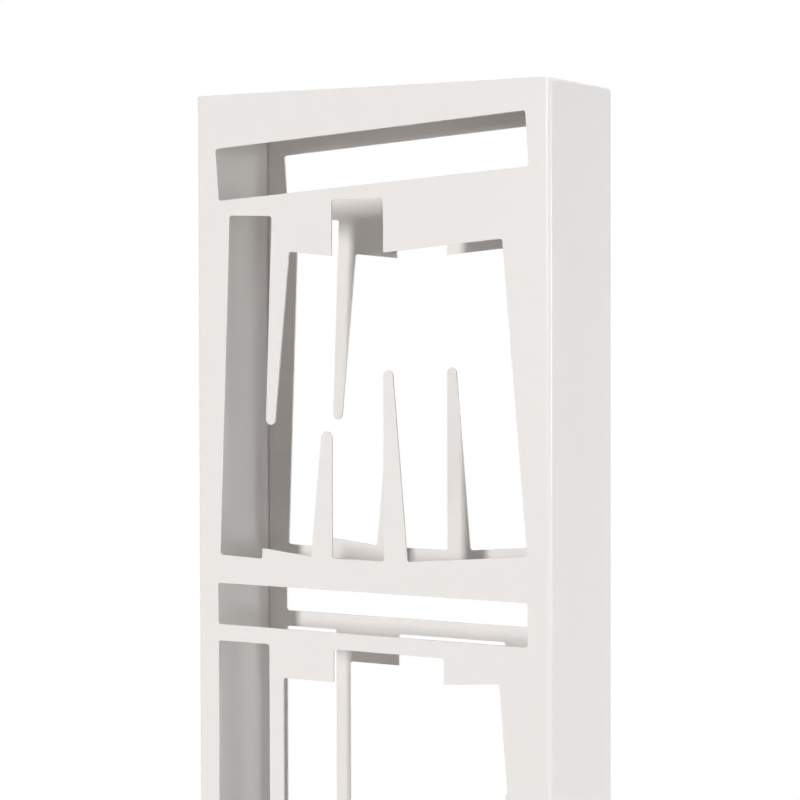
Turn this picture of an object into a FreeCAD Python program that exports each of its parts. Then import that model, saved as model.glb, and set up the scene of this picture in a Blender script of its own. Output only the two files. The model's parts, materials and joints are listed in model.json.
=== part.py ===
"""Slim sheet-steel bookcase, in millimetres.

A tall narrow case is folded from thin sheet. The same laser-cut openings go
through its front sheet and its back cover. They have the outlines of blocks that
lie, stand and lean side by side, so that a load passes through both sheets and
rests on the cut edges. The case stands on a wide steel plate with four feet.

The finished part has +Z up, X along the width with the front facing -Y, and its
origin on the floor under the middle of the base plate.
"""
import FreeCAD, Part
import math
import os

import Sketcher
from FreeCAD import Placement, Rotation, Vector

# Driving dimensions. Lengths are in millimetres and angles in degrees.
# A value whose name ends in share is a share of the clear width or of the bay's height.
SIZES = {
    # Case
    "width": 300.0,
    "depth": 100.0,
    "sheet": 1.5,
    "bend_radius": 3.0,
    "side_margin": 18.0,
    "cover_inset": 2.0,
    "cut_corner": 1.2,
    "fit_gap": 0.3,
    "overrun": 1.0,
    # Heights of the bands and openings, from the top down
    "top_band": 22.7,
    "slot_one_tall": 39.5,
    "slot_one_tilt": 3.9,
    "slot_one_bridge": 1.7,
    "bay_one_tall": 268.4,
    "bay_bridge": 20.2,
    "slot_two_tall": 31.5,
    "slot_two_bridge": 12.4,
    "bay_two_tall": 275.8,
    "plinth_band": 58.4,
    # Round ends of the tongues of sheet between two outlines
    "tongue_ab_radius": 4.1,
    "tongue_bc_radius": 4.7,
    "tongue_cd_radius": 4.0,
    "tongue_gh_radius": 4.2,
    "tongue_overlap": 6.0,
    # Angle brackets that carry the back cover
    "bracket_sheet": 2.0,
    "bracket_bend": 3.0,
    "bracket_back_leg": 14.0,
    "bracket_side_leg": 16.0,
    "bracket_tall": 18.0,
    # Hexagon screws of the back cover, from its top row down to the row in the tray
    "screw_top_drop": 12.0,
    "screw_inset": 7.5,
    "screw_diameter": 4.0,
    "screw_hole": 4.5,
    "screw_across": 7.0,
    "screw_head_tall": 2.8,
    "screw_length": 7.0,
    "running_gap": 0.05,
    # Tray that closes the bottom of the case
    "tray_sheet": 2.0,
    "tray_tall": 32.0,
    "tray_bend": 3.0,
    "tray_notch": 5.0,
    "tray_screw_rise": 19.0,
    # Base plate
    "plate_width": 340.0,
    "plate_depth": 260.0,
    "plate_thick": 10.0,
    "plate_corner": 12.0,
    "plate_edge": 1.0,
    # Hexagon bolts from inside the tray down into the base plate
    "bolt_diameter": 6.0,
    "bolt_hole": 6.6,
    "bolt_across": 10.0,
    "bolt_head_tall": 4.0,
    "bolt_short": 1.0,
    "bolt_spread_x": 210.0,
    "bolt_spread_y": 56.0,
    # Levelling feet
    "foot_inset": 26.0,
    "foot_stud": 10.0,
    "foot_stud_seat": 3.5,
    "foot_stud_short": 0.6,
    "foot_pad_across": 27.0,
    "foot_pad_tall": 6.0,
}

# Upright outlines of the two bays: place across and down, width and height as shares
# of the clear width and of the bay's height, and the lean to the left in degrees.
OUTLINES = {
    "a": {"across_share": -0.4021, "down_share": 0.5177,
          "wide_share": 0.1439, "tall_share": 0.9601, "lean": -2.1},
    "b": {"across_share": -0.2189, "down_share": 0.5630,
          "wide_share": 0.1572, "tall_share": 0.8346, "lean": -5.7},
    "c": {"across_share": -0.0299, "down_share": 0.4939,
          "wide_share": 0.1674, "tall_share": 0.9877, "lean": 0.0},
    "d": {"across_share": 0.2765, "down_share": 0.5499,
          "wide_share": 0.3712, "tall_share": 0.8420, "lean": 5.0},
    "e": {"across_share": -0.4119, "down_share": 0.5000,
          "wide_share": 0.1739, "tall_share": 1.0000, "lean": 0.0},
    "f": {"across_share": -0.1822, "down_share": 0.5442,
          "wide_share": 0.1903, "tall_share": 0.9115, "lean": 0.0},
    "g": {"across_share": 0.0667, "down_share": 0.5000,
          "wide_share": 0.3530, "tall_share": 1.0000, "lean": 0.0},
    "h": {"across_share": 0.3701, "down_share": 0.5276,
          "wide_share": 0.1711, "tall_share": 0.9340, "lean": 4.9},
}
BAY_ONE = ("a", "b", "c", "d")
BAY_TWO = ("e", "f", "g", "h")

# Tongues of sheet between neighbouring outlines: left, right, and whether it hangs.
TONGUES_ONE = (("a", "b", True), ("b", "c", False), ("c", "d", False))
TONGUES_TWO = (("g", "h", False),)

# Kinds of rows from the top down, each with its slot and its bay
ROWS = ("one", "two", "one", "two", "one")
SCREW_ROWS = len(ROWS) - 1

# Names of the feet with their sides across and in depth
FEET = (("front_left", -1, -1), ("front_right", 1, -1), ("rear_left", -1, 1), ("rear_right", 1, 1))

SLACK = 1e-4

doc = FreeCAD.newDocument("bookcase")
sheet = doc.addObject("Spreadsheet::Sheet", "Sizes")


def fill_sheet():
    """Write every driving dimension to the sheet and give its cell an alias."""
    values = dict(SIZES)
    for letter, facts in OUTLINES.items():
        for key, value in facts.items():
            values["outline_%s_%s" % (letter, key)] = value
    for row, (alias, value) in enumerate(values.items(), start=1):
        sheet.set("A%d" % row, alias)
        sheet.set("B%d" % row, str(value))
        sheet.setAlias("B%d" % row, alias)
    doc.recompute()


fill_sheet()


def size(name):
    """The expression for one driving dimension."""
    return "Sizes." + name


# Sizes that follow from the driving ones, as expressions
CLEAR_WIDTH = "(Sizes.width - 2 * Sizes.side_margin)"
SLOT_ONE_REACH = (
    "(" + CLEAR_WIDTH + " * sin(Sizes.slot_one_tilt)"
    " + Sizes.slot_one_tall * cos(Sizes.slot_one_tilt))"
)
SLOT_ONE_DROP = "(Sizes.top_band + " + SLOT_ONE_REACH + " / 2)"
BAY_ONE_DROP = "(Sizes.top_band + " + SLOT_ONE_REACH + " + Sizes.slot_one_bridge)"
BAY_ONE_END = "(" + BAY_ONE_DROP + " + Sizes.bay_one_tall)"
SLOT_TWO_DROP = "(" + BAY_ONE_END + " + Sizes.bay_bridge + Sizes.slot_two_tall / 2)"
BAY_TWO_DROP = "(" + SLOT_TWO_DROP + " + Sizes.slot_two_tall / 2 + Sizes.slot_two_bridge)"
BAY_TWO_END = "(" + BAY_TWO_DROP + " + Sizes.bay_two_tall)"
PITCH = "(" + BAY_TWO_END + " + Sizes.bay_bridge - Sizes.top_band)"
CASE_TALL = "(%d * %s + %s + Sizes.plinth_band)" % (ROWS.count("two"), PITCH, BAY_ONE_END)
THROUGH = "(Sizes.depth + 2 * Sizes.overrun)"
PLATE_UNDER = "(Sizes.foot_pad_tall + Sizes.fit_gap)"
PLATE_TOP = "(" + PLATE_UNDER + " + Sizes.plate_thick)"
CASE_TOP = "(" + PLATE_TOP + " + " + CASE_TALL + ")"
CASE_FRONT = "(-Sizes.depth / 2)"
INNER_SIDE = "(Sizes.width / 2 - Sizes.sheet)"
COVER_BACK = "(Sizes.depth / 2 - Sizes.cover_inset)"
COVER_FRONT = "(" + COVER_BACK + " - Sizes.sheet)"
SCREW_SIDE = "(Sizes.width / 2 - Sizes.sheet - Sizes.screw_inset)"
SCREW_STEP = "((%s - Sizes.tray_screw_rise - Sizes.screw_top_drop) / %d)" % (CASE_TALL, SCREW_ROWS - 1)
TAPPED = "(Sizes.screw_diameter + 2 * Sizes.running_gap)"
BAYS = {
    "one": (SLOT_ONE_DROP, size("slot_one_tall"), size("slot_one_tilt"), BAY_ONE_DROP,
            size("bay_one_tall"), BAY_ONE, TONGUES_ONE),
    "two": (SLOT_TWO_DROP, size("slot_two_tall"), "0", BAY_TWO_DROP,
            size("bay_two_tall"), BAY_TWO, TONGUES_TWO),
}


def number(expression):
    """The present value of an expression, in millimetres or degrees."""
    value = sheet.evalExpression(expression.replace("Sizes.", ""))
    return float(getattr(value, "Value", value))


def place(item, x="0", y="0", z="0", axis=(0, 0, 1), turn=0):
    """Put an object at a place given by expressions, turned about one axis."""
    item.Placement = Placement(Vector(0, 0, 0), Rotation(Vector(*axis), turn))
    for letter, expression in zip("xyz", (x, y, z)):
        item.setExpression("Placement.Base." + letter, expression)


def new_body(name, *where):
    """A body with its own label and place."""
    body = doc.addObject("PartDesign::Body", name)
    body.Label = name
    place(body, *where)
    return body


def origin_part(body, role):
    """A plane or an axis of the body's own origin."""
    return next(part for part in body.Origin.OriginFeatures if part.Role == role)


def new_sketch(body, plane, x="0", y="0", depth="0", turn="0"):
    """A sketch on one of the body's planes, shifted and turned in that plane."""
    sketch = body.newObject("Sketcher::SketchObject", body.Name + "_sketch")
    sketch.AttachmentSupport = [(origin_part(body, plane + "_Plane"), "")]
    sketch.MapMode = "FlatFace"
    sketch.AttachmentOffset = Placement(Vector(0, 0, 0), Rotation(Vector(0, 0, 1), 1))
    for letter, expression in zip("xyz", (x, y, depth)):
        sketch.setExpression("AttachmentOffset.Base." + letter, expression)
    sketch.setExpression("AttachmentOffset.Rotation.Angle", turn)
    return sketch


def bind(sketch, kind, name, expression, *places):
    """A named dimension of the sketch, bound to an expression."""
    index = sketch.addConstraint(Sketcher.Constraint(kind, *places, number(expression)))
    sketch.renameConstraint(index, name)
    sketch.setExpression("Constraints." + name, expression)


def add_rectangle(sketch, wide, tall, radius="0", clip="0"):
    """A rectangle round the sketch's origin, with round or clipped corners if their size is given."""
    half_x, half_y = number(wide) / 2, number(tall) / 2
    inset = max(number(radius), number(clip))
    corners = ((1, -1), (1, 1), (-1, 1), (-1, -1))
    lines = []
    for turn, (sx, sy) in enumerate(corners):
        before = corners[turn - 1]
        along = Vector(sx - before[0], sy - before[1], 0) / 2
        start = Vector(before[0] * half_x, before[1] * half_y, 0) + along * inset
        end = Vector(sx * half_x, sy * half_y, 0) - along * inset
        lines.append(sketch.addGeometry(Part.LineSegment(start, end), False))
    for index, kind in enumerate(("Horizontal", "Vertical", "Horizontal", "Vertical")):
        sketch.addConstraint(Sketcher.Constraint(kind, lines[index]))
    joins = []
    for turn, (sx, sy) in enumerate(corners):
        line, after = lines[turn], lines[(turn + 1) % 4]
        if number(radius):
            middle = Vector(sx * (half_x - inset), sy * (half_y - inset), 0)
            start = math.pi / 2 * (turn - 1)
            circle = Part.Circle(middle, Vector(0, 0, 1), inset)
            joins.append(sketch.addGeometry(Part.ArcOfCircle(circle, start, start + math.pi / 2), False))
            sketch.addConstraint(Sketcher.Constraint("Tangent", line, 2, joins[-1], 1))
            sketch.addConstraint(Sketcher.Constraint("Tangent", joins[-1], 2, after, 1))
        elif number(clip):
            ends = [sketch.getPoint(line, 2), sketch.getPoint(after, 1)]
            joins.append(sketch.addGeometry(Part.LineSegment(*ends), False))
            sketch.addConstraint(Sketcher.Constraint("Coincident", line, 2, joins[-1], 1))
            sketch.addConstraint(Sketcher.Constraint("Coincident", joins[-1], 2, after, 1))
        else:
            sketch.addConstraint(Sketcher.Constraint("Coincident", line, 2, after, 1))
    for join in joins[1:]:
        sketch.addConstraint(Sketcher.Constraint("Equal", joins[0], join))
    sketch.addConstraint(Sketcher.Constraint("Symmetric", lines[0], 1, lines[2], 1, -1, 1))
    bind(sketch, "DistanceX", "wide", wide, lines[3], 2, lines[1], 1)
    bind(sketch, "DistanceY", "tall", tall, lines[0], 1, lines[2], 2)
    if number(radius):
        bind(sketch, "Radius", "radius", radius, joins[0])
    if number(clip):
        for join, kind in zip(joins[1:], ("Perpendicular", "Parallel", "Perpendicular")):
            sketch.addConstraint(Sketcher.Constraint(kind, joins[0], join))
        bind(sketch, "DistanceX", "clip_x", clip, joins[0], 1, joins[0], 2)
        bind(sketch, "DistanceY", "clip_y", clip, joins[0], 1, joins[0], 2)


def add_profile(sketch, points):
    """A closed outline of straight lines whose corners are pairs of expressions, none negative."""
    places = [Vector(number(x), number(y), 0) for x, y in points]
    lines = []
    for index, start in enumerate(places):
        end = places[(index + 1) % len(places)]
        lines.append(sketch.addGeometry(Part.LineSegment(start, end), False))
    for index, line in enumerate(lines):
        sketch.addConstraint(Sketcher.Constraint("Coincident", lines[index - 1], 2, line, 1))
        for kind, axis, expression in zip(("DistanceX", "DistanceY"), (-2, -1), points[index]):
            if number(expression) == 0:
                sketch.addConstraint(Sketcher.Constraint("PointOnObject", line, 1, axis))
            else:
                bind(sketch, kind, "p%d_%s" % (index, kind[-1].lower()), expression, -1, 1, line, 1)


def add_hexagon(sketch, across):
    """A regular hexagon round the sketch's origin, by its width across the flats."""
    reach = number(across) / math.sqrt(3)
    corners = [Vector(reach * math.cos(math.pi / 3 * k), reach * math.sin(math.pi / 3 * k), 0)
               for k in range(6)]
    circle = sketch.addGeometry(Part.Circle(Vector(0, 0, 0), Vector(0, 0, 1), reach), True)
    sketch.addConstraint(Sketcher.Constraint("Coincident", circle, 3, -1, 1))
    lines = [sketch.addGeometry(Part.LineSegment(corners[k], corners[(k + 1) % 6]), False)
             for k in range(6)]
    for k, line in enumerate(lines):
        sketch.addConstraint(Sketcher.Constraint("Coincident", line, 2, lines[(k + 1) % 6], 1))
        sketch.addConstraint(Sketcher.Constraint("PointOnObject", line, 1, circle))
    for line in lines[1:]:
        sketch.addConstraint(Sketcher.Constraint("Equal", lines[0], line))
    sketch.addConstraint(Sketcher.Constraint("PointOnObject", lines[0], 1, -1))
    bind(sketch, "Radius", "reach", across + " / sqrt(3)", circle)


def add_corner_squares(sketch, wide, tall, side):
    """Four squares that fill the corners of a rectangle round the sketch's origin."""
    half_x, half_y, reach = number(wide) / 2, number(tall) / 2, number(side)
    for name, sx, sy in (("a", 1, 1), ("b", -1, 1), ("c", -1, -1), ("d", 1, -1)):
        outer = Vector(sx * half_x, sy * half_y, 0)
        inner = outer - Vector(sx * reach, sy * reach, 0)
        path = (outer, Vector(inner.x, outer.y, 0), inner, Vector(outer.x, inner.y, 0))
        lines = []
        for k, start in enumerate(path):
            lines.append(sketch.addGeometry(Part.LineSegment(start, path[(k + 1) % 4]), False))
        for k, kind in enumerate(("Horizontal", "Vertical", "Horizontal", "Vertical")):
            sketch.addConstraint(Sketcher.Constraint(kind, lines[k]))
            sketch.addConstraint(Sketcher.Constraint("Coincident", lines[k], 2, lines[(k + 1) % 4], 1))
        sketch.addConstraint(Sketcher.Constraint("Equal", lines[0], lines[1]))
        bind(sketch, "Distance", "side_" + name, side, lines[0])
        bind(sketch, "DistanceX", "x_" + name, "%d * %s / 2" % (sx, wide), -1, 1, lines[0], 1)
        bind(sketch, "DistanceY", "y_" + name, "%d * %s / 2" % (sy, tall), -1, 1, lines[0], 1)


def add_circles(sketch, diameter, spread_x="0", spread_y="0"):
    """One circle at the origin, or the circles at both or all four ends of the spreads."""
    x, y = number(spread_x) / 2, number(spread_y) / 2
    signs_x = (1, -1) if x else (0,)
    signs_y = (1, -1) if y else (0,)
    circles = []
    for sx in signs_x:
        for sy in signs_y:
            circle = Part.Circle(Vector(sx * x, sy * y, 0), Vector(0, 0, 1), number(diameter) / 2)
            circles.append(sketch.addGeometry(circle, False))
    first = circles[0]
    if x and y:
        sketch.addConstraint(Sketcher.Constraint("Symmetric", first, 3, circles[1], 3, -1))
        sketch.addConstraint(Sketcher.Constraint("Symmetric", first, 3, circles[2], 3, -2))
        sketch.addConstraint(Sketcher.Constraint("Symmetric", first, 3, circles[3], 3, -1, 1))
    elif x or y:
        sketch.addConstraint(Sketcher.Constraint("Symmetric", first, 3, circles[1], 3, -1, 1))
    for kind, axis, spread in (("DistanceX", -2, spread_x), ("DistanceY", -1, spread_y)):
        if number(spread):
            bind(sketch, kind, "half_" + kind[-1].lower(), spread + " / 2", -1, 1, first, 3)
        else:
            sketch.addConstraint(Sketcher.Constraint("PointOnObject", first, 3, axis))
    for circle in circles[1:]:
        sketch.addConstraint(Sketcher.Constraint("Equal", first, circle))
    bind(sketch, "Diameter", "diameter", diameter, first)


def extrude(body, kind, sketch, length, backwards=False):
    """A pad or a pocket of a sketch. A pad runs along the sketch's normal and a pocket against it."""
    feature = body.newObject("PartDesign::" + kind, body.Name + "_" + kind.lower())
    feature.Profile = sketch
    feature.setExpression("Length", length)
    feature.Reversed = backwards
    body.Tip = feature
    return feature


def pocket(body, sketch, length, backwards=False):
    """A pocket that is checked to take something away."""
    before = body.Tip
    if "Up-to-date" not in before.State:
        doc.recompute()
    full = before.Shape.Volume
    feature = extrude(body, "Pocket", sketch, length, backwards)
    doc.recompute()
    if not feature.Shape.Volume < full:
        raise RuntimeError(feature.Name + " cuts nothing")
    return feature


def edges_where(feature, test):
    """Names of the feature's edges whose ends and middle all pass a test."""
    doc.recompute()
    names = []
    for index, edge in enumerate(feature.Shape.Edges, start=1):
        places = [vertex.Point for vertex in edge.Vertexes] + [edge.CenterOfMass]
        if all(test(place) for place in places):
            names.append("Edge%d" % index)
    return names


def soften(body, kind, edges, amount):
    """A fillet or a chamfer of the body's latest feature."""
    feature = body.newObject("PartDesign::" + kind, body.Name + "_" + kind.lower())
    feature.Base = (body.Tip if body.Tip != feature else feature.BaseFeature, edges)
    feature.setExpression("Radius" if kind == "Fillet" else "Size", amount)
    body.Tip = feature
    return feature


def repeat(body, originals, axis, step, count, backwards=False):
    """Copies of some features in a row along one of the body's axes."""
    pattern = body.newObject("PartDesign::LinearPattern", body.Name + "_pattern")
    pattern.Originals = originals
    pattern.Direction = (origin_part(body, axis + "_Axis"), [""])
    pattern.Reversed = backwards
    pattern.setExpression("Length", "%d * %s" % (count - 1, step))
    pattern.Occurrences = count
    body.Tip = pattern
    return pattern


def near(value, expression):
    """Whether a coordinate has the value of an expression."""
    return abs(value - number(expression)) < SLACK


def on_rim(point, wide, deep):
    """Whether a point lies on the outer sides of a rectangle round the origin."""
    return near(abs(point.x), wide + " / 2") or near(abs(point.y), deep + " / 2")


# Openings


def outline(letter, key):
    """The expression for one share or the lean of an outline."""
    return size("outline_%s_%s" % (letter, key))


def outline_box(letter, bay_drop, bay_tall):
    """Middle across, middle drop, width, height and lean of an outline."""
    return (
        "(%s * %s)" % (outline(letter, "across_share"), CLEAR_WIDTH),
        "(%s + %s * %s)" % (bay_drop, outline(letter, "down_share"), bay_tall),
        "(%s * %s)" % (outline(letter, "wide_share"), CLEAR_WIDTH),
        "(%s * %s)" % (outline(letter, "tall_share"), bay_tall),
        outline(letter, "lean"),
    )


def side_line(box, side):
    """Where a long side of an outline lies: its place across at the outline's middle drop."""
    across, _, wide, _, lean = box
    return "(%s + %d * %s / (2 * cos(%s)))" % (across, side, wide, lean)


def add_outline(body, across, drop, wide, tall, lean):
    """The block of one rectangular outline, leaning about its middle, through the whole depth."""
    sketch = new_sketch(body, "XZ", across, "-" + drop, size("overrun"), lean)
    add_rectangle(sketch, wide, tall, clip=size("cut_corner"))
    return extrude(body, "Pad", sketch, THROUGH, backwards=True)


def add_tongue_end(sketch, radius, side, tall):
    """A rectangle with a half-round dent in its lower edge, where the tongue's round end stays."""
    reach = "(%s + %s)" % (radius, side)
    r, half, top = number(radius), number(reach), number(tall)
    corners = [Vector(r, 0, 0), Vector(half, 0, 0), Vector(half, top, 0),
               Vector(-half, top, 0), Vector(-half, 0, 0), Vector(-r, 0, 0)]
    lines = [sketch.addGeometry(Part.LineSegment(corners[k], corners[k + 1]), False) for k in range(5)]
    circle = Part.Circle(Vector(0, 0, 0), Vector(0, 0, 1), r)
    arc = sketch.addGeometry(Part.ArcOfCircle(circle, 0, math.pi), False)
    for k in range(4):
        sketch.addConstraint(Sketcher.Constraint("Coincident", lines[k], 2, lines[k + 1], 1))
    sketch.addConstraint(Sketcher.Constraint("Coincident", arc, 1, lines[0], 1))
    sketch.addConstraint(Sketcher.Constraint("Coincident", arc, 2, lines[4], 2))
    sketch.addConstraint(Sketcher.Constraint("Coincident", arc, 3, -1, 1))
    for line, kind in zip(lines, ("Horizontal", "Vertical", "Horizontal", "Vertical")):
        sketch.addConstraint(Sketcher.Constraint(kind, line))
    sketch.addConstraint(Sketcher.Constraint("PointOnObject", lines[0], 1, -1))
    sketch.addConstraint(Sketcher.Constraint("PointOnObject", lines[4], 2, -1))
    sketch.addConstraint(Sketcher.Constraint("Symmetric", lines[1], 1, lines[3], 2, -1, 1))
    bind(sketch, "Radius", "radius", radius, arc)
    bind(sketch, "DistanceX", "reach", reach, -1, 1, lines[1], 1)
    bind(sketch, "DistanceY", "tall", tall, lines[1], 1, lines[1], 2)


def add_tongue_gap(body, left, right, left_box, right_box, hangs):
    """Fill the narrow end of the gap between two outlines, so that the tongue ends round.

    The tongue ends where the gap is as wide as its round end. From there the block
    takes up the narrow gap as far as the nearest corner of the leaning outline.
    """
    radius = size("tongue_%s%s_radius" % (left, right))
    near_side, far_side = side_line(left_box, 1), side_line(right_box, -1)
    spread = "(tan(%s) - tan(%s))" % (right_box[4], left_box[4])
    drop = "((2 * {r} - {far} + {near} + tan({rl}) * {rd} - tan({ll}) * {ld}) / {spread})".format(
        r=radius, far=far_side, near=near_side, rl=right_box[4], rd=right_box[1],
        ll=left_box[4], ld=left_box[1], spread=spread)
    across = "(%s + tan(%s) * (%s - %s) + %s)" % (near_side, left_box[4], drop, left_box[1], radius)
    box, side = (right_box, -1) if right in ("b", "d", "h") else (left_box, 1)
    corner = "(%s + %d * %s / 2 * cos(%s) - %d * %s / 2 * sin(%s))" % (
        box[1], 1 if hangs else -1, box[3], box[4], side, box[2], box[4])
    way = -1 if hangs else 1
    sketch = new_sketch(body, "XZ", across, "-" + drop, size("overrun"), "180" if hangs else "0")
    add_tongue_end(sketch, radius, size("tongue_overlap"), "(%d * (%s - %s))" % (way, drop, corner))
    return extrude(body, "Pad", sketch, THROUGH, backwards=True)


def make_openings():
    """The blocks of all slots and bays, measured from the top middle of the case's front."""
    body = new_body("openings")
    for row, facts in BAYS.items():
        slot_drop, slot_tall, tilt, bay_drop, bay_tall, letters, tongues = facts
        blocks = [add_outline(body, "0", slot_drop, CLEAR_WIDTH, slot_tall, tilt)]
        boxes = {letter: outline_box(letter, bay_drop, bay_tall) for letter in letters}
        for box in boxes.values():
            blocks.append(add_outline(body, *box))
        for left, right, hangs in tongues:
            blocks.append(add_tongue_gap(body, left, right, boxes[left], boxes[right], hangs))
        repeat(body, blocks, "Z", PITCH, ROWS.count(row), backwards=True)
    return body


def cut_through(name, stock, openings):
    """A piece of the case: the stock less the openings, placed with the case's front and top."""
    piece = doc.addObject("Part::Cut", name)
    piece.Label = name
    piece.Base = stock
    piece.Tool = openings
    place(piece, "0", CASE_FRONT, CASE_TOP)
    doc.recompute()
    if not piece.Shape.Volume < stock.Shape.Volume:
        raise RuntimeError(name + " has no openings")
    return piece


# Case


def make_casing(openings):
    """Front sheet, both sides and top, folded from one blank and open behind and below."""
    body = new_body("folded_sheet")
    sketch = new_sketch(body, "XY", "0", "Sizes.depth / 2")
    add_rectangle(sketch, size("width"), size("depth"))
    extrude(body, "Pad", sketch, CASE_TALL, backwards=True)
    half = "Sizes.width / 2"
    bends = edges_where(body.Tip, lambda p: near(abs(p.x), half) and near(p.y, "0"))
    tops = edges_where(body.Tip, lambda p: near(abs(p.x), half) and near(p.z, "0"))
    soften(body, "Fillet", sorted(set(bends + tops)), size("bend_radius"))
    middle = "(Sizes.depth + Sizes.sheet + Sizes.overrun) / 2"
    inside = new_sketch(body, "XY", "0", middle, "-Sizes.sheet")
    add_rectangle(inside, "Sizes.width - 2 * Sizes.sheet", "Sizes.depth - Sizes.sheet + Sizes.overrun")
    pocket(body, inside, CASE_TALL)
    bends = edges_where(body.Tip, lambda p: near(abs(p.x), INNER_SIDE) and near(p.y, "Sizes.sheet"))
    tops = edges_where(body.Tip, lambda p: near(abs(p.x), INNER_SIDE) and near(p.z, "-Sizes.sheet"))
    soften(body, "Fillet", sorted(set(bends + tops)), "Sizes.bend_radius - Sizes.sheet")
    return cut_through("casing", body, openings)


def make_back_cover(openings):
    """Flat sheet just inside the case's rear edges, with the same openings as the front."""
    body = new_body("flat_sheet")
    front = "(%s - %s)" % (COVER_FRONT, CASE_FRONT)
    tall = "(%s - Sizes.sheet - Sizes.fit_gap)" % CASE_TALL
    sketch = new_sketch(body, "XZ", "0", "-(Sizes.sheet + Sizes.fit_gap) - %s / 2" % tall, "-" + front)
    add_rectangle(sketch, "Sizes.width - 2 * (Sizes.sheet + Sizes.fit_gap)", tall)
    extrude(body, "Pad", sketch, size("sheet"), backwards=True)
    holes = new_sketch(body, "XZ", "0", "-Sizes.screw_top_drop", "-" + front)
    add_circles(holes, size("screw_hole"), "2 * " + SCREW_SIDE)
    first = pocket(body, holes, "Sizes.sheet + Sizes.overrun")
    repeat(body, [first], "Z", SCREW_STEP, SCREW_ROWS, backwards=True)
    return cut_through("back_cover", body, openings)


def make_bracket(side, index):
    """Folded angle, welded to the side wall, with a tapped hole for a screw of the back cover."""
    name = "bracket_%s_%d" % ("right" if side > 0 else "left", index + 1)
    drop = "(Sizes.screw_top_drop + %d * %s)" % (index, SCREW_STEP)
    low = "%s - %s - Sizes.bracket_tall / 2" % (CASE_TOP, drop)
    turn = 180 if side > 0 else -90
    body = new_body(name, "%d * %s" % (side, INNER_SIDE), COVER_FRONT, low, (0, 0, 1), turn)
    legs = (size("bracket_back_leg"), size("bracket_side_leg"))
    along, up = legs if side > 0 else legs[::-1]
    gauge = size("bracket_sheet")
    sketch = new_sketch(body, "XY")
    corners = (("0", "0"), (along, "0"), (along, gauge), (gauge, gauge), (gauge, up), ("0", up))
    add_profile(sketch, corners)
    extrude(body, "Pad", sketch, size("bracket_tall"))
    outer = edges_where(body.Tip, lambda p: near(p.x, "0") and near(p.y, "0"))
    soften(body, "Fillet", outer, size("bracket_bend"))
    inner = edges_where(body.Tip, lambda p: near(p.x, gauge) and near(p.y, gauge))
    soften(body, "Fillet", inner, "Sizes.bracket_bend - Sizes.bracket_sheet")
    plane, way = ("XZ", "-") if side > 0 else ("YZ", "")
    hole = new_sketch(body, plane, size("screw_inset"), "Sizes.bracket_tall / 2",
                      way + "(Sizes.bracket_sheet + Sizes.overrun)")
    add_circles(hole, TAPPED)
    pocket(body, hole, "Sizes.bracket_sheet + 2 * Sizes.overrun", backwards=side > 0)
    return body


def add_hex_screw(body, thread, tall, length):
    """Head and shank of a hexagon screw: the head rises from the origin and the shank goes down."""
    head = new_sketch(body, "XY")
    add_hexagon(head, size(thread + "_across"))
    shank = new_sketch(body, "XY")
    add_circles(shank, size(thread + "_diameter"))
    return [extrude(body, "Pad", head, tall), extrude(body, "Pad", shank, length, backwards=True)]


def make_cover_screws(side):
    """Screws down one side of the back cover, heads to the rear."""
    name = "cover_screws_" + ("right" if side > 0 else "left")
    top = "%s - Sizes.screw_top_drop" % CASE_TOP
    body = new_body(name, "%d * %s" % (side, SCREW_SIDE), COVER_BACK, top, (1, 0, 0), -90)
    screw = add_hex_screw(body, "screw", size("screw_head_tall"), size("screw_length"))
    repeat(body, screw, "Y", SCREW_STEP, SCREW_ROWS)
    return body


def make_tray():
    """Folded pan, open at its corners, that closes the bottom of the case."""
    body = new_body("base_tray", "0", "-Sizes.cover_inset / 2", PLATE_TOP)
    clear = "(Sizes.sheet + Sizes.fit_gap)"
    wide = "(Sizes.width - 2 * %s)" % clear
    deep = "(Sizes.depth - Sizes.cover_inset - 2 * %s)" % clear
    outer = new_sketch(body, "XY")
    add_rectangle(outer, wide, deep)
    extrude(body, "Pad", outer, size("tray_tall"))
    corners = new_sketch(body, "XY", depth=size("tray_tall"))
    add_corner_squares(corners, wide, deep, size("tray_notch"))
    pocket(body, corners, size("tray_tall"))
    rim = edges_where(body.Tip, lambda p: near(p.z, "0") and on_rim(p, wide, deep))
    soften(body, "Fillet", rim, size("tray_bend"))
    inner = new_sketch(body, "XY", depth=size("tray_tall"))
    add_rectangle(inner, wide + " - 2 * Sizes.tray_sheet", deep + " - 2 * Sizes.tray_sheet")
    pocket(body, inner, "Sizes.tray_tall - Sizes.tray_sheet")
    bolts = new_sketch(body, "XY", "0", "Sizes.cover_inset / 2", "Sizes.tray_sheet + Sizes.overrun")
    add_circles(bolts, size("bolt_hole"), size("bolt_spread_x"), size("bolt_spread_y"))
    pocket(body, bolts, "Sizes.tray_sheet + 2 * Sizes.overrun")
    screws = new_sketch(body, "XZ", "0", size("tray_screw_rise"), "-" + deep + " / 2 - Sizes.overrun")
    add_circles(screws, TAPPED, "2 * " + SCREW_SIDE)
    pocket(body, screws, "Sizes.tray_sheet + 2 * Sizes.overrun", backwards=True)
    return body


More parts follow.
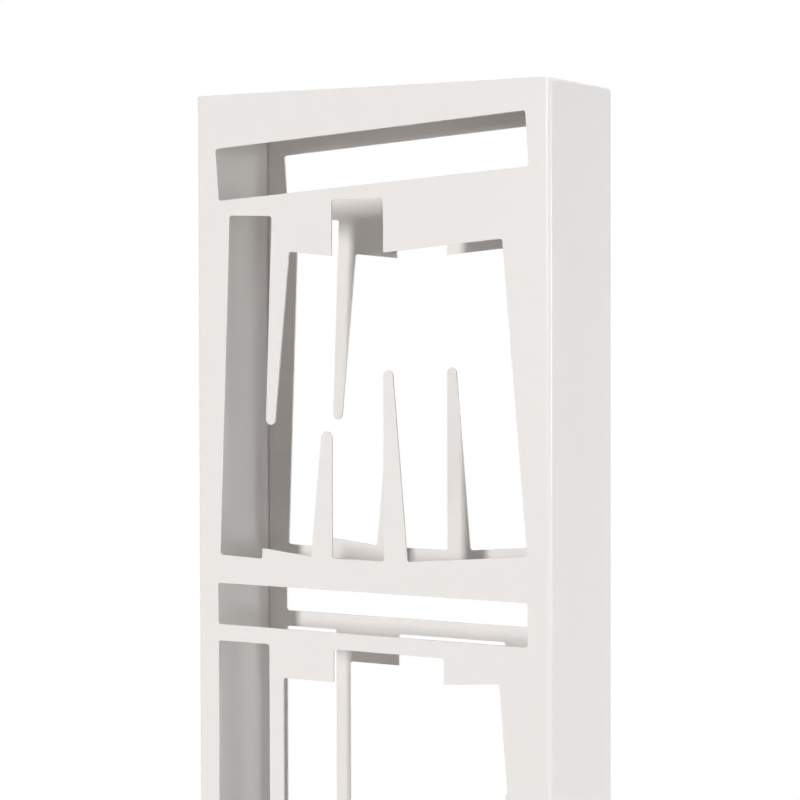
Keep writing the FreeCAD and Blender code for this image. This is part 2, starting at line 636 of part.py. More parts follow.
def make_plate():
    """Heavy steel plate with tapped holes, which keeps the tall case upright."""
    body = new_body("base_plate", "0", "0", PLATE_UNDER)
    sketch = new_sketch(body, "XY")
    add_rectangle(sketch, size("plate_width"), size("plate_depth"), size("plate_corner"))
    extrude(body, "Pad", sketch, size("plate_thick"))
    rim = edges_where(body.Tip, lambda p: near(p.z, size("plate_thick")))
    soften(body, "Chamfer", rim, size("plate_edge"))
    bolts = new_sketch(body, "XY", depth="Sizes.plate_thick + Sizes.overrun")
    add_circles(bolts, "(Sizes.bolt_diameter + 2 * Sizes.running_gap)",
                size("bolt_spread_x"), size("bolt_spread_y"))
    pocket(body, bolts, "Sizes.plate_thick + 2 * Sizes.overrun")
    feet = new_sketch(body, "XY", depth="Sizes.plate_thick + Sizes.overrun")
    add_circles(feet, "(Sizes.foot_stud + 2 * Sizes.running_gap)",
                "(Sizes.plate_width - 2 * Sizes.foot_inset)",
                "(Sizes.plate_depth - 2 * Sizes.foot_inset)")
    pocket(body, feet, "Sizes.plate_thick + 2 * Sizes.overrun")
    return body


def make_plate_bolts():
    """Bolts through the tray's floor into the base plate."""
    body = new_body("plate_bolts", "-Sizes.bolt_spread_x / 2", "-Sizes.bolt_spread_y / 2",
                    PLATE_TOP + " + Sizes.tray_sheet")
    length = "(Sizes.tray_sheet + Sizes.plate_thick - Sizes.bolt_short)"
    bolt = add_hex_screw(body, "bolt", size("bolt_head_tall"), length)
    pattern = body.newObject("PartDesign::MultiTransform", body.Name + "_spread")
    pattern.Originals = bolt
    steps = []
    for axis, step in (("X", "bolt_spread_x"), ("Y", "bolt_spread_y")):
        row = body.newObject("PartDesign::LinearPattern", body.Name + "_row_" + axis.lower())
        row.Direction = (origin_part(body, axis + "_Axis"), [""])
        row.setExpression("Length", size(step))
        row.Occurrences = 2
        steps.append(row)
    pattern.Transformations = steps
    body.Tip = pattern
    return body


def make_foot(word, across, back):
    """Threaded stud and moulded hexagon pad of one levelling foot."""
    x = "%d * (Sizes.plate_width / 2 - Sizes.foot_inset)" % across
    y = "%d * (Sizes.plate_depth / 2 - Sizes.foot_inset)" % back
    seat = "(Sizes.foot_pad_tall - Sizes.foot_stud_seat)"
    stud = new_body("foot_stud_" + word, x, y, seat)
    sketch = new_sketch(stud, "XY")
    add_circles(sketch, size("foot_stud"))
    extrude(stud, "Pad", sketch, "(%s - Sizes.foot_stud_short - %s)" % (PLATE_TOP, seat))
    pad = new_body("foot_pad_" + word, x, y)
    block = new_sketch(pad, "XY")
    add_hexagon(block, size("foot_pad_across"))
    extrude(pad, "Pad", block, size("foot_pad_tall"))
    bore = new_sketch(pad, "XY", depth=size("foot_pad_tall"))
    add_circles(bore, "(Sizes.foot_stud + 2 * Sizes.running_gap)")
    pocket(pad, bore, size("foot_stud_seat"))
    return [stud, pad]


def build():
    """Make every piece."""
    openings = make_openings()
    pieces = [make_casing(openings), make_back_cover(openings)]
    for side in (-1, 1):
        for index in range(SCREW_ROWS - 1):
            pieces.append(make_bracket(side, index))
        pieces.append(make_cover_screws(side))
    pieces += [make_tray(), make_plate(), make_plate_bolts()]
    for word, across, back in FEET:
        pieces += make_foot(word, across, back)
    return pieces


def export(pieces):
    """Check every object and piece, and only then write the pieces."""
    doc.recompute()
    bad = [item.Name for item in doc.Objects if "Invalid" in item.State or "Error" in item.State]
    bad += [piece.Label for piece in pieces if piece.Shape.isNull() or not piece.Shape.isValid()]
    if bad:
        raise RuntimeError("failed objects: " + ", ".join(bad))
    os.makedirs("parts", exist_ok=True)
    for piece in pieces:
        shape = piece.Shape
        shape.exportStep("parts/%s.step" % piece.Label)
        print("%-20s solids %2d  volume %10.1f mm3" % (piece.Label, len(shape.Solids), shape.Volume))


export(build())
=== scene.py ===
# %% [markdown]
# # A slim bookcase of folded sheet steel
# The real object is a tall, narrow case of thin white powder-coated steel with laser-cut
# openings through its front and back. The solids of every piece come from the packed
# model, so this lesson is about what they lack: finishes, round corners, soft rims,
# threads and light.

# %% Load the fixed frame
import json
import math

import bmesh
import bpy
from mathutils import Matrix, Vector


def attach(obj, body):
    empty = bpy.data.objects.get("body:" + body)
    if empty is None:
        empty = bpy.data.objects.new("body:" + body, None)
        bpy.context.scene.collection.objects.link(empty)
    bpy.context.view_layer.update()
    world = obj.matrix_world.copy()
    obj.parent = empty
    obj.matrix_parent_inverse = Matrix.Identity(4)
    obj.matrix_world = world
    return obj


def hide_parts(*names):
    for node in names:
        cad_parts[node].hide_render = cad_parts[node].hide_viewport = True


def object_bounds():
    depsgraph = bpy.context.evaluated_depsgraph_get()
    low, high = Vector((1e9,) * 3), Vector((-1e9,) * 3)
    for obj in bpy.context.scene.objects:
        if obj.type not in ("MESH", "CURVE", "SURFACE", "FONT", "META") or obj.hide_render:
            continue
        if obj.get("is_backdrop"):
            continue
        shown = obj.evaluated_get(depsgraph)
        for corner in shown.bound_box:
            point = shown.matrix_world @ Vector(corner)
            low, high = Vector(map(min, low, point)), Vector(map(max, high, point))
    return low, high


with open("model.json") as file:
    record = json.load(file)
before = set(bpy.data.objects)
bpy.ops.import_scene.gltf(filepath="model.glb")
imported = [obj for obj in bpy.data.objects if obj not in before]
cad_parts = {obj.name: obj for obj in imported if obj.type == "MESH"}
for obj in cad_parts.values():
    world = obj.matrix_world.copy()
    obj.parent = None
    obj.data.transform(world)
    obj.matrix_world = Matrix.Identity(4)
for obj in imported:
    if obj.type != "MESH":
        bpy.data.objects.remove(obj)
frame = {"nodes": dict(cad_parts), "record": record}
low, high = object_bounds()
print("case in metres", [round(b - a, 4) for a, b in zip(low, high)])
MM = 0.001

# %% [markdown]
# ## Camera
# The view is from the case's right front, a little under its top. A photograph of a tall
# thing is often cropped from a larger picture, so its optical centre is not the middle of
# the frame. The lens shift stands for that, instead of turning the camera.

# %% Place the camera
IMAGE = 800
FOCAL_PIXELS = 2399.7
CENTRE_PIXELS = (393.17, 368.87)
SENSOR_WIDTH = 36.0
CAMERA_PLACE = (0.8993, -1.5593, 1.6371)
YAW, PITCH, ROLL = 30.15, -1.41, -0.13

camera_data = bpy.data.cameras.new("camera")
camera_data.sensor_width = SENSOR_WIDTH
camera_data.lens = FOCAL_PIXELS * SENSOR_WIDTH / IMAGE
camera_data.shift_x = 0.5 - CENTRE_PIXELS[0] / IMAGE
camera_data.shift_y = CENTRE_PIXELS[1] / IMAGE - 0.5
camera_data.clip_end = 50.0
camera = bpy.data.objects.new("camera", camera_data)
turn = Matrix.Rotation(math.radians(YAW), 4, "Z")
tip = Matrix.Rotation(math.radians(90.0 + PITCH), 4, "X")
lean = Matrix.Rotation(math.radians(ROLL), 4, "Z")
camera.matrix_world = Matrix.Translation(CAMERA_PLACE) @ turn @ tip @ lean
bpy.context.scene.collection.objects.link(camera)
bpy.context.scene.camera = camera
print("lens", round(camera_data.lens, 2), "mm")

# %% [markdown]
# ## Helpers for finishes
# A finish is a small tree of nodes. Colours are written as the hex values that a paint
# chart gives, and one function turns them to the linear values that light works with.
# Every pattern reads Object coordinates, which are metres on these pieces, so a scale is
# one over a real size.


# %% One function for colours
def linear(hex_colour):
    """Linear red, green, blue and alpha of an sRGB hex colour."""
    values = [int(hex_colour[k:k + 2], 16) / 255.0 for k in (1, 3, 5)]
    light = [v / 12.92 if v <= 0.04045 else ((v + 0.055) / 1.055) ** 2.4 for v in values]
    return (*light, 1.0)


print("middle grey as light", [round(v, 3) for v in linear("#808080")])


# %% One function for nodes
def add_node(tree, kind, settings=None, **sockets):
    """A node with its settings. A socket takes a value or another node's output."""
    node = tree.nodes.new(kind)
    for name, value in (settings or {}).items():
        setattr(node, name, value)
    for name, value in sockets.items():
        key = int(name[1:]) if name[1:].isdigit() else name.replace("_", " ")
        socket = node.inputs[key]
        if isinstance(value, bpy.types.NodeSocket):
            tree.links.new(value, socket)
        else:
            socket.default_value = value
    return node


def new_finish(name):
    """An empty material with its output node and its Object coordinates."""
    material = bpy.data.materials.new(name)
    material.use_nodes = True
    tree = material.node_tree
    tree.nodes.clear()
    output = tree.nodes.new("ShaderNodeOutputMaterial")
    place = tree.nodes.new("ShaderNodeTexCoord").outputs["Object"]
    return material, tree, output, place


print("finishes so far", len(bpy.data.materials))

# %% [markdown]
# ## White powder coat
# The sheet is sprayed with dry polyester powder and baked, so it flows into a satin film
# with a very fine orange peel, a few millimetres from crest to crest and only microns
# high. A bump map is the honest way to make it, because no outline shows it. A second,
# slower noise varies the gloss and the tint a little, as an uneven film does. The gloss
# keeps to a narrow range, because a wide one reads as stains on a plain sheet.

# %% Powder coat
PEEL_SIZE = 2.2 * MM
PEEL_HEIGHT = 0.05 * MM
FILM_SIZE = 60.0 * MM
GLOSS_SPREAD = 0.02
THICK_FILM_TINT = 0.985


def powder_coat(name, colour, roughness):
    """A satin paint with orange peel, whose gloss and tint follow the film's thickness."""
    material, tree, output, place = new_finish(name)
    peel = add_node(tree, "ShaderNodeTexNoise", Vector=place, Scale=1.0 / PEEL_SIZE,
                    Detail=2.0, Roughness=0.45)
    film = add_node(tree, "ShaderNodeTexNoise", Vector=place, Scale=1.0 / FILM_SIZE, Detail=3.0)
    bump = add_node(tree, "ShaderNodeBump", Strength=0.2, Distance=PEEL_HEIGHT,
                    Height=peel.outputs["Fac"])
    gloss = add_node(tree, "ShaderNodeMapRange", _0=film.outputs["Fac"], _1=0.3, _2=0.7,
                     _3=roughness - GLOSS_SPREAD, _4=roughness + GLOSS_SPREAD)
    thick = tuple(THICK_FILM_TINT * v for v in linear(colour)[:3]) + (1.0,)
    tint = add_node(tree, "ShaderNodeMix", {"data_type": "RGBA"}, _0=film.outputs["Fac"],
                    _6=linear(colour), _7=thick)
    shader = add_node(tree, "ShaderNodeBsdfPrincipled", IOR=1.5, Base_Color=tint.outputs[2],
                      Roughness=gloss.outputs["Result"], Normal=bump.outputs["Normal"])
    tree.links.new(shader.outputs["BSDF"], output.inputs["Surface"])
    return material


white = powder_coat("white_powder_coat", "#EDE9E6", 0.245)
print(white.name, "nodes", len(white.node_tree.nodes))

# %% [markdown]
# ## Zinc and plastic
# Small fixings are steel, electroplated with zinc and passivated: a grey metal with a
# slight blue cast and a soft, cloudy gloss. The feet are moulded nylon, near black, with
# the fine spark-eroded grain of the tool.

# %% Zinc-plated steel
CLOUD_SIZE = 3.0 * MM


def zinc_plate(name):
    """A plated metal with a cloudy gloss."""
    material, tree, output, place = new_finish(name)
    cloud = add_node(tree, "ShaderNodeTexNoise", Vector=place, Scale=1.0 / CLOUD_SIZE, Detail=4.0)
    gloss = add_node(tree, "ShaderNodeMapRange", _0=cloud.outputs["Fac"], _3=0.26, _4=0.42)
    tint = add_node(tree, "ShaderNodeMix", {"data_type": "RGBA"}, _0=cloud.outputs["Fac"],
                    _6=linear("#C3C7CC"), _7=linear("#B4B6B4"))
    shader = add_node(tree, "ShaderNodeBsdfPrincipled", Metallic=1.0, Base_Color=tint.outputs[2],
                      Roughness=gloss.outputs["Result"])
    tree.links.new(shader.outputs["BSDF"], output.inputs["Surface"])
    return material


zinc = zinc_plate("zinc_plated_steel")
print(zinc.name, "nodes", len(zinc.node_tree.nodes))

# %% Moulded nylon
GRAIN_SIZE = 0.4 * MM
GRAIN_HEIGHT = 0.05 * MM


def moulded_nylon(name):
    """A dark plastic with the grain of its tool."""
    material, tree, output, place = new_finish(name)
    grain = add_node(tree, "ShaderNodeTexNoise", Vector=place, Scale=1.0 / GRAIN_SIZE, Detail=2.0)
    bump = add_node(tree, "ShaderNodeBump", Strength=0.25, Distance=GRAIN_HEIGHT,
                    Height=grain.outputs["Fac"])
    gloss = add_node(tree, "ShaderNodeMapRange", _0=grain.outputs["Fac"], _3=0.45, _4=0.6)
    shader = add_node(tree, "ShaderNodeBsdfPrincipled", IOR=1.53, Base_Color=linear("#202124"),
                      Roughness=gloss.outputs["Result"], Normal=bump.outputs["Normal"])
    tree.links.new(shader.outputs["BSDF"], output.inputs["Surface"])
    return material


nylon = moulded_nylon("moulded_nylon")
print(nylon.name, "nodes", len(nylon.node_tree.nodes))

# %% Give the solids their finishes
FINISHES = {"white_powder_coat": white, "zinc_steel": zinc, "foot_plastic": nylon}
slots = {part["node"]: part["material_slot"] for part in frame["record"]["subparts"]}
for name, node in frame["nodes"].items():
    for slot in node.material_slots:
        slot.material = FINISHES[slots[name]]
print("solids' nodes", len(frame["nodes"]), "finishes", sorted(set(slots.values())))

# %% [markdown]
# ## Placing a finished piece
# A new piece is a bmesh in the frame's own coordinates. It stands for the solids of one
# node, takes that node's finish, and rides on the body that carries the node. Face
# normals are weighted by area, so a flat sheet stays flat up to its softened rim.


# %% Hand a bmesh over as a piece
def body_of(name):
    """The body that carries a node: a foot's stud and pad ride on their own foot."""
    if name.startswith("foot_"):
        return name.replace("_stud_", "_").replace("_pad_", "_")
    return "case"


def hand_over(shape, name):
    """Make a mesh object of a bmesh in place of one node."""
    for face in shape.faces:
        face.smooth = True
    data = bpy.data.meshes.new(name + "_dressed")
    shape.to_mesh(data)
    shape.free()
    data.materials.append(FINISHES[slots[name]])
    piece = bpy.data.objects.new(name + "_dressed", data)
    bpy.context.scene.collection.objects.link(piece)
    weighted = piece.modifiers.new("weighted", "WEIGHTED_NORMAL")
    weighted.keep_sharp = True
    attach(piece, body_of(name))
    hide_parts(name)
    return piece


# %% [markdown]
# ## Copying a solid
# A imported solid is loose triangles. Merging their corners joins them into one skin, and
# dissolving the edges between triangles in one plane gives back the flat faces of the
# real sheet, which a bevel needs. The bevel then works on true edges only.

# %% Copy a node's solids as clean flat faces
WELD = 0.001 * MM
FLAT_ANGLE = math.radians(0.5)
SHARP_ANGLE = math.radians(30.0)


def node_copy(name):
    """A merged copy of a node's mesh, with its triangles joined into flat faces."""
    shape = bmesh.new()
    shape.from_mesh(frame["nodes"][name].data)
    bmesh.ops.remove_doubles(shape, verts=shape.verts, dist=WELD)
    bmesh.ops.dissolve_limit(shape, angle_limit=FLAT_ANGLE, verts=shape.verts, edges=shape.edges)
    return shape


def sharp_edges(shape):
    """The closed skin's edges that turn by more than the bends do."""
    return [e for e in shape.edges if e.is_manifold and e.calc_face_angle() > SHARP_ANGLE]


def round_off(shape, edges, offset, segments, **options):
    """Bevel some edges of a bmesh to a round, and return the new vertices."""
    made = bmesh.ops.bevel(shape, geom=edges, offset=offset, offset_type="OFFSET",
                           affect="EDGES", segments=segments, profile=0.5, material=-1,
                           **options)
    return made["verts"]


trial = node_copy("casing")
print("casing: flat faces", len(trial.faces), "sharp edges", len(sharp_edges(trial)))
trial.free()

# %% [markdown]
# ## Sheet with rounded corners and soft rims
# A laser leaves small radii in the corners of its openings, and the sheet is deburred
# before coating, so no rim is knife-sharp. The solid has those corners as 45 degree
# clips. Bevelling both ends of a clip by nearly half its length turns it into one round,
# and a second, finer bevel goes along every sharp rim. Before that, the hair-fine steps
# where two outlines nearly meet are closed, since a bevel can't be wider than the step.

# %% Close the hair-fine steps
STEP = 0.2 * MM
FLAT_HALF = 140.0 * MM


def close_steps(shape):
    """Close the hair-fine steps in the flat of a sheet, away from the bends."""
    inside = [e for e in shape.edges if max(abs(v.co.x) for v in e.verts) < FLAT_HALF]
    steps = [e for e in inside if e.calc_length() < STEP]
    bmesh.ops.collapse(shape, edges=steps)
    return len(steps)


trial = node_copy("back_cover")
print("back cover: steps closed", close_steps(trial))
trial.free()

# %% Find the clipped corners
CLIP = 1.2 * MM
WHOLE_CLIP = 1.5 * MM
CLIP_ANGLE = math.radians(45.0)
NEAR_ANGLE = math.radians(4.0)
THROUGH_SHARE = 0.999


def is_clip_end(edge):
    """Whether an edge runs through the sheet and has a corner's whole clip beside it."""
    if not edge.is_manifold:
        return False
    along = (edge.verts[1].co - edge.verts[0].co).normalized()
    if abs(along.y) < THROUGH_SHARE:
        return False
    if abs(edge.calc_face_angle() - CLIP_ANGLE) > NEAR_ANGLE:
        return False
    beside = [e for v in edge.verts for e in v.link_edges if e is not edge]
    across = [e for e in beside if any(f in e.link_faces for f in edge.link_faces)]
    return min(e.calc_length() for e in across) > WHOLE_CLIP


trial = node_copy("back_cover")
print("back cover: ends of clips", sum(is_clip_end(edge) for edge in trial.edges))
trial.free()

# %% [markdown]
# Rounding a corner leaves hair-thin faces between it and the flat of the sheet, and a
# rim bevel folds over on them. Each is joined to the face along its longest side. Only
# one side at a time is dissolved, because a face that closed round an opening would
# cover it.

# %% Join the slivers
SLIVER = 0.3 * MM * MM
FLAT_SHARE = 0.9


def is_flat(face):
    """Whether a face lies in the flat of a sheet, front or back."""
    return abs(face.normal.y) > FLAT_SHARE


def join_slivers(shape):
    """Join each hair-thin face of a sheet's flat to the one along its longest side."""
    joined = 0
    left = True
    while left:
        left = False
        for sliver in [f for f in shape.faces if is_flat(f) and f.calc_area() < SLIVER]:
            if not sliver.is_valid:
                continue
            sides = [e for e in sliver.edges if all(map(is_flat, e.link_faces))]
            if sides:
                side = max(sides, key=lambda e: e.calc_length())
                bmesh.ops.dissolve_edges(shape, edges=[side], use_verts=False)
                joined += 1
                left = True
    return joined


# %% Finish the casing and its back cover
CORNER_ROUND = 0.95 * CLIP * math.sqrt(0.5)
RIM = 0.22 * MM


def cut_sheet(name):
    """A sheet with openings, its corners round and its rims soft."""
    shape = node_copy(name)
    close_steps(shape)
    clips = [edge for edge in shape.edges if is_clip_end(edge)]
    corners = round_off(shape, clips, CORNER_ROUND, 3)
    bmesh.ops.remove_doubles(shape, verts=corners, dist=STEP)
    slivers = join_slivers(shape)
    rims = sharp_edges(shape)
    round_off(shape, rims, RIM, 2, loop_slide=False, clamp_overlap=False)
    print(name, "clip ends", len(clips), "slivers joined", slivers)
    print(name, "rim edges", len(rims), "faces", len(shape.faces))
    return hand_over(shape, name)


for name in ("casing", "back_cover"):
    cut_sheet(name)

# %% [markdown]
# ## Brackets, tray, plate and pads
# These have no stepped openings, so a rim bevel is enough. It is a little larger on the
# thick plate, whose edges are milled, and larger still on the moulded pads.

# %% Soften the plain pieces
SOFT_RIMS = {
    "bracket": 0.25 * MM,
    "base_tray": 0.25 * MM,
    "base_plate": 0.4 * MM,
    "foot_pad": 0.8 * MM,
}
for name in sorted(frame["nodes"]):
    for kind, rim in SOFT_RIMS.items():
        if name.startswith(kind):
            shape = node_copy(name)
            rims = sharp_edges(shape)
            round_off(shape, rims, rim, 3)
            print(name, "rim edges", len(rims), "faces", len(shape.faces))
            hand_over(shape, name)

# %% [markdown]
# ## Threads
# A metric thread is a 60 degree groove that climbs by its pitch in each turn. Spinning a
# short profile with a step along the axis makes a true helix, as a lathe does. It starts
# two turns early and ends at least a turn late, and is then cut off flat and closed.


# %% Measure and pull in towards the axis
def reach_of(vert):
    """How far a vertex is from the Z axis."""
    return math.hypot(vert.co.x, vert.co.y)


def pull_in(vert, reach):
    """Move a vertex towards the Z axis until it is no farther than a reach."""
    if reach_of(vert) > reach:
        vert.co.xy *= reach / reach_of(vert)


# %% Cut a thread
THREAD_DEPTH_SHARE = 0.6134
CREST_SHARES = (0.44, 0.56)
TURN_STEPS = 24
LEAD_TURNS = 2
WELD_SHARE = 0.01


def threaded_rod(radius, pitch, length):
    """A rod with a metric thread along Z from 0 to its length, chamfered at the end."""
    root = radius - THREAD_DEPTH_SHARE * pitch
    turns = math.ceil(length / pitch) + LEAD_TURNS + 1
    shape = bmesh.new()
    groove = [(root, 0.0), (radius, CREST_SHARES[0]), (radius, CREST_SHARES[1]), (root, 1.0)]
    line = [shape.verts.new((r, 0.0, (share - LEAD_TURNS) * pitch)) for r, share in groove]
    edges = [shape.edges.new(pair) for pair in zip(line, line[1:])]
    bmesh.ops.spin(shape, geom=line + edges, cent=(0, 0, 0), axis=(0, 0, 1),
                   dvec=(0, 0, pitch / TURN_STEPS), angle=2.0 * math.pi * turns,
                   steps=TURN_STEPS * turns, use_merge=False, use_duplicate=False)
    bmesh.ops.remove_doubles(shape, verts=shape.verts, dist=WELD_SHARE * pitch)
    for height, away in ((0.0, -1), (length, 1)):
        everything = shape.verts[:] + shape.edges[:] + shape.faces[:]
        cut = bmesh.ops.bisect_plane(shape, geom=everything, plane_co=(0, 0, height),
                                     plane_no=(0, 0, away), clear_outer=True)
        ring = [e for e in cut["geom_cut"] if isinstance(e, bmesh.types.BMEdge)]
        bmesh.ops.edgeloop_fill(shape, edges=ring)
    for vert in shape.verts:
        pull_in(vert, root + max(0.0, length - vert.co.z))
    bmesh.ops.recalc_face_normals(shape, faces=shape.faces)
    return shape


trial = threaded_rod(3.0 * MM, 1.0 * MM, 10.0 * MM)
print("10 mm of an M6 thread: faces", len(trial.faces))
trial.free()

# %% [markdown]
# ## Hexagon heads
# A cold-formed head is a hexagon whose corners are turned off by a shallow cone. The
# ring of the hexagon is subdivided first, so that the cone can pull its corners down
# into the curves that the real ones have.

# %% Form a head
CROWN_SHARE = 0.95
CONE_SLOPE = math.tan(math.radians(30.0))
SIDE_CUTS = 7


def hexagon_head(across, tall):
    """A hexagon head from Z = 0 down, its corners turned off by a cone."""
    shape = bmesh.new()
    crown = CROWN_SHARE * across / 2.0
    corner_on_x = Matrix.Rotation(math.radians(30.0), 4, "Z")
    bmesh.ops.create_circle(shape, segments=6, radius=across / math.sqrt(3.0), cap_ends=False,
                            matrix=corner_on_x)
    bmesh.ops.subdivide_edges(shape, edges=shape.edges[:], cuts=SIDE_CUTS)
    ring = shape.edges[:]
    bmesh.ops.edgeloop_fill(shape, edges=ring)
    for step in ("wall", "cone"):
        grown = bmesh.ops.extrude_edge_only(shape, edges=ring)["geom"]
        ring = [g for g in grown if isinstance(g, bmesh.types.BMEdge) and len(g.link_faces) == 1]
        for vert in {v for e in ring for v in e.verts}:
            if step == "cone":
                pull_in(vert, crown)
            vert.co.z = (reach_of(vert) - crown) * CONE_SLOPE - tall
    bmesh.ops.edgeloop_fill(shape, edges=ring)
    bmesh.ops.recalc_face_normals(shape, faces=shape.faces)
    return shape


trial = hexagon_head(10.0 * MM, 4.0 * MM)
print("M6 head: faces", len(trial.faces))
trial.free()

# %% [markdown]
# ## Screws, bolts and studs in their places
# Each node holds a row of like fixings. Its solids are told apart as islands of the
# merged mesh, and every island's box gives one screw its place and length. Only the
# standard sizes of the threads and heads are written here.


# %% Find the solids in a node
def islands(name):
    """The lowest and highest corner of each separate solid in a node."""
    shape = node_copy(name)
    waiting = set(shape.verts)
    boxes = []
    while waiting:
        found = [waiting.pop()]
        for vert in found:
            for edge in vert.link_edges:
                other = edge.other_vert(vert)
                if other in waiting:
                    waiting.remove(other)
                    found.append(other)
        spans = [sorted(v.co[k] for v in found) for k in range(3)]
        boxes.append((Vector([s[0] for s in spans]), Vector([s[-1] for s in spans])))
    shape.free()
    return sorted(boxes, key=lambda box: tuple(box[0]))


def add_turned(whole, part, turn, place):
    """Add a part to a piece, turned and moved into its place."""
    bmesh.ops.transform(part, matrix=Matrix.Translation(place) @ turn, verts=part.verts)
    data = bpy.data.meshes.new("part")
    part.to_mesh(data)
    part.free()
    whole.from_mesh(data)
    bpy.data.meshes.remove(data)


print("plate bolts found", len(islands("plate_bolts")))

# %% Put the screws in
ALONG_Y, ALONG_Z = 1, 2
FORWARD = Matrix.Rotation(math.radians(90.0), 4, "X")
DOWN = Matrix.Rotation(math.radians(180.0), 4, "X")

# Thread radius and pitch, then the head's width across its flats and its height
M4 = (2.0 * MM, 0.7 * MM, 7.0 * MM, 2.8 * MM)
M6 = (3.0 * MM, 1.0 * MM, 10.0 * MM, 4.0 * MM)


def put_screws(name, axis, turn, radius, pitch, across, tall):
    """Fill a node's places with screws whose heads are at the far end of an axis."""
    whole = bmesh.new()
    boxes = islands(name)
    for low, high in boxes:
        centre = (low + high) / 2.0
        span = high[axis] - low[axis]
        centre[axis] = high[axis] - tall
        add_turned(whole, threaded_rod(radius, pitch, span - tall), turn, centre)
        add_turned(whole, hexagon_head(across, tall), turn, centre)
    print(name, "screws", len(boxes), "faces", len(whole.faces))
    return hand_over(whole, name)


for side in ("left", "right"):
    put_screws("cover_screws_" + side, ALONG_Y, FORWARD, *M4)
put_screws("plate_bolts", ALONG_Z, DOWN, *M6)

# %% Thread the studs
STUD_PITCH = 1.5 * MM
for name in sorted(frame["nodes"]):
    if name.startswith("foot_stud"):
        (low, high), = islands(name)
        foot = (low + high) / 2.0
        foot.z = low.z
        whole = bmesh.new()
        rod = threaded_rod((high.x - low.x) / 2.0, STUD_PITCH, high.z - low.z)
        add_turned(whole, rod, Matrix.Identity(4), foot)
        print(name, "faces", len(whole.faces))
        hand_over(whole, name)

# %% [markdown]
# ## Floor
# A plain pale floor keeps the shadow of the base plate. Away from the object it fades
# into the white backdrop, but only where the camera sees it, so it sends no more light
# than a real floor does.

# %% Floor
FLOOR_HALF = 3.0
FADE_FROM, FADE_TO = 1.2, 2.8

floor_mesh = bmesh.new()
bmesh.ops.create_grid(floor_mesh, x_segments=1, y_segments=1, size=FLOOR_HALF)
floor_data = bpy.data.meshes.new("floor")
floor_mesh.to_mesh(floor_data)
floor_mesh.free()
floor = bpy.data.objects.new("floor", floor_data)
bpy.context.scene.collection.objects.link(floor)
material, tree, output, place = new_finish("pale_floor")
reach = add_node(tree, "ShaderNodeVectorMath", {"operation": "LENGTH"}, Vector=place)
fade = add_node(tree, "ShaderNodeMapRange", _0=reach.outputs["Value"], _1=FADE_FROM, _2=FADE_TO)
path = add_node(tree, "ShaderNodeLightPath")
seen = add_node(tree, "ShaderNodeMath", {"operation": "MULTIPLY"},
                _0=path.outputs["Is Camera Ray"], _1=fade.outputs["Result"])
matt = add_node(tree, "ShaderNodeBsdfPrincipled", Base_Color=linear("#EFEFED"), Roughness=0.7)
glow = add_node(tree, "ShaderNodeEmission", Strength=1.0)
blend = add_node(tree, "ShaderNodeMixShader", _0=seen.outputs[0], _1=matt.outputs[0],
                 _2=glow.outputs[0])
tree.links.new(blend.outputs[0], output.inputs["Surface"])
floor_data.materials.append(material)
floor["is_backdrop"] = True
print("floor", 2.0 * FLOOR_HALF, "m across")

# %% [markdown]
# ## World
# The world is white where the camera or a reflection sees it. As a lamp it is much
# dimmer, so that the lamps give the form: a faint room all round, and a brighter
# backdrop behind the case, which lights the inside of its left wall through the back.

# %% World
ROOM_LIGHT, BACKDROP_LIGHT = 0.05, 0.32
BACKDROP_FROM, BACKDROP_TO = 0.4, 0.65

world = bpy.data.worlds.new("studio")
world.use_nodes = True
bpy.context.scene.world = world
tree = world.node_tree
tree.nodes.clear()
path = add_node(tree, "ShaderNodeLightPath")
direct = add_node(tree, "ShaderNodeMath", {"operation": "MAXIMUM"},
                  _0=path.outputs["Is Camera Ray"], _1=path.outputs["Is Glossy Ray"])
clear = add_node(tree, "ShaderNodeMath", {"operation": "MAXIMUM"}, _0=direct.outputs[0],
                 _1=path.outputs["Is Transmission Ray"])
ray = add_node(tree, "ShaderNodeTexCoord").outputs["Generated"]
way = add_node(tree, "ShaderNodeSeparateXYZ", Vector=ray)
room = add_node(tree, "ShaderNodeMapRange", _0=way.outputs["Y"], _1=BACKDROP_FROM,
                _2=BACKDROP_TO, _3=ROOM_LIGHT, _4=BACKDROP_LIGHT)
level = add_node(tree, "ShaderNodeMapRange", _0=clear.outputs[0], _3=room.outputs[0], _4=1.0)
sky = add_node(tree, "ShaderNodeBackground", Color=(1.0, 1.0, 1.0, 1.0),
               Strength=level.outputs["Result"])
output = tree.nodes.new("ShaderNodeOutputWorld")
tree.links.new(sky.outputs[0], output.inputs["Surface"])
print("world nodes", len(tree.nodes))

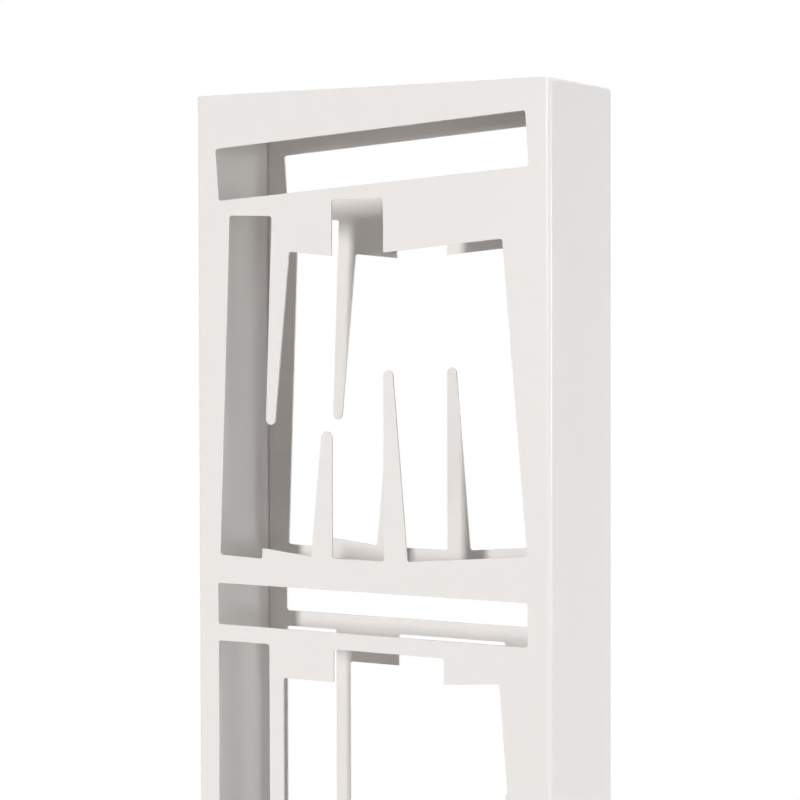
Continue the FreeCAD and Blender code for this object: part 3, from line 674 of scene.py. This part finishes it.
# %% [markdown]
# ## Lamps
# A satin sheet shows a lamp twice: as shading over the whole face, and as a mirror image
# where the angles match. The mirror image of a large lamp would burn out a flat side in
# some view, so the lamps that shade leave no glint, and two narrow ones give only the
# glints: thin bright lines along the bent corners.
#
# - key, in front and slightly to the left, shades the front and reaches the back cover
# - side, to the right, shades the side; rim, behind it, reaches into the case
# - top, overhead, lights the top and the bends beside it
# - sheen and strip draw the two lines on the near corner


# %% Lamps
def softbox(name, place, aim, size, watts, colour="#FFFFFF", shade=True, glint=True):
    """A rectangular lamp that shines towards a point, as shading, as a glint or as both."""
    data = bpy.data.lights.new(name, "AREA")
    data.shape = "RECTANGLE"
    data.size, data.size_y = size
    data.energy = watts
    data.color = linear(colour)[:3]
    lamp = bpy.data.objects.new(name, data)
    lamp.visible_diffuse = shade
    lamp.visible_glossy = glint
    facing = (Vector(aim) - Vector(place)).to_track_quat("-Z", "Y").to_matrix().to_4x4()
    lamp.matrix_world = Matrix.Translation(place) @ facing
    bpy.context.scene.collection.objects.link(lamp)
    print("lamp", name, watts, "W, shade", shade, "glint", glint)
    return lamp


CASE_MIDDLE = (0.0, 0.0, 1.2)
CASE_FOOT = (0.0, 0.0, 0.0)
COOL_WHITE = "#F8FBFF"
softbox("key", (-0.58, -4.0, 2.0), CASE_MIDDLE, (0.3, 0.9), 113.0, glint=False)
softbox("sheen", (-0.66, -3.97, 2.0), CASE_MIDDLE, (0.6, 0.9), 54.0, shade=False)
softbox("side", (4.0, 0.0, 1.3), CASE_MIDDLE, (1.6, 2.4), 80.0, COOL_WHITE, glint=False)
softbox("rim", (2.9, 2.75, 1.3), CASE_MIDDLE, (1.2, 1.8), 25.0, glint=False)
softbox("strip", (3.46, 2.0, 1.6), CASE_MIDDLE, (0.5, 1.5), 65.0, shade=False)
softbox("top", (0.0, 0.0, 4.5), CASE_FOOT, (1.5, 1.5), 55.0, glint=False)
bpy.context.scene.view_settings.view_transform = "Standard"

# %% Measure the size
low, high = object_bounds()
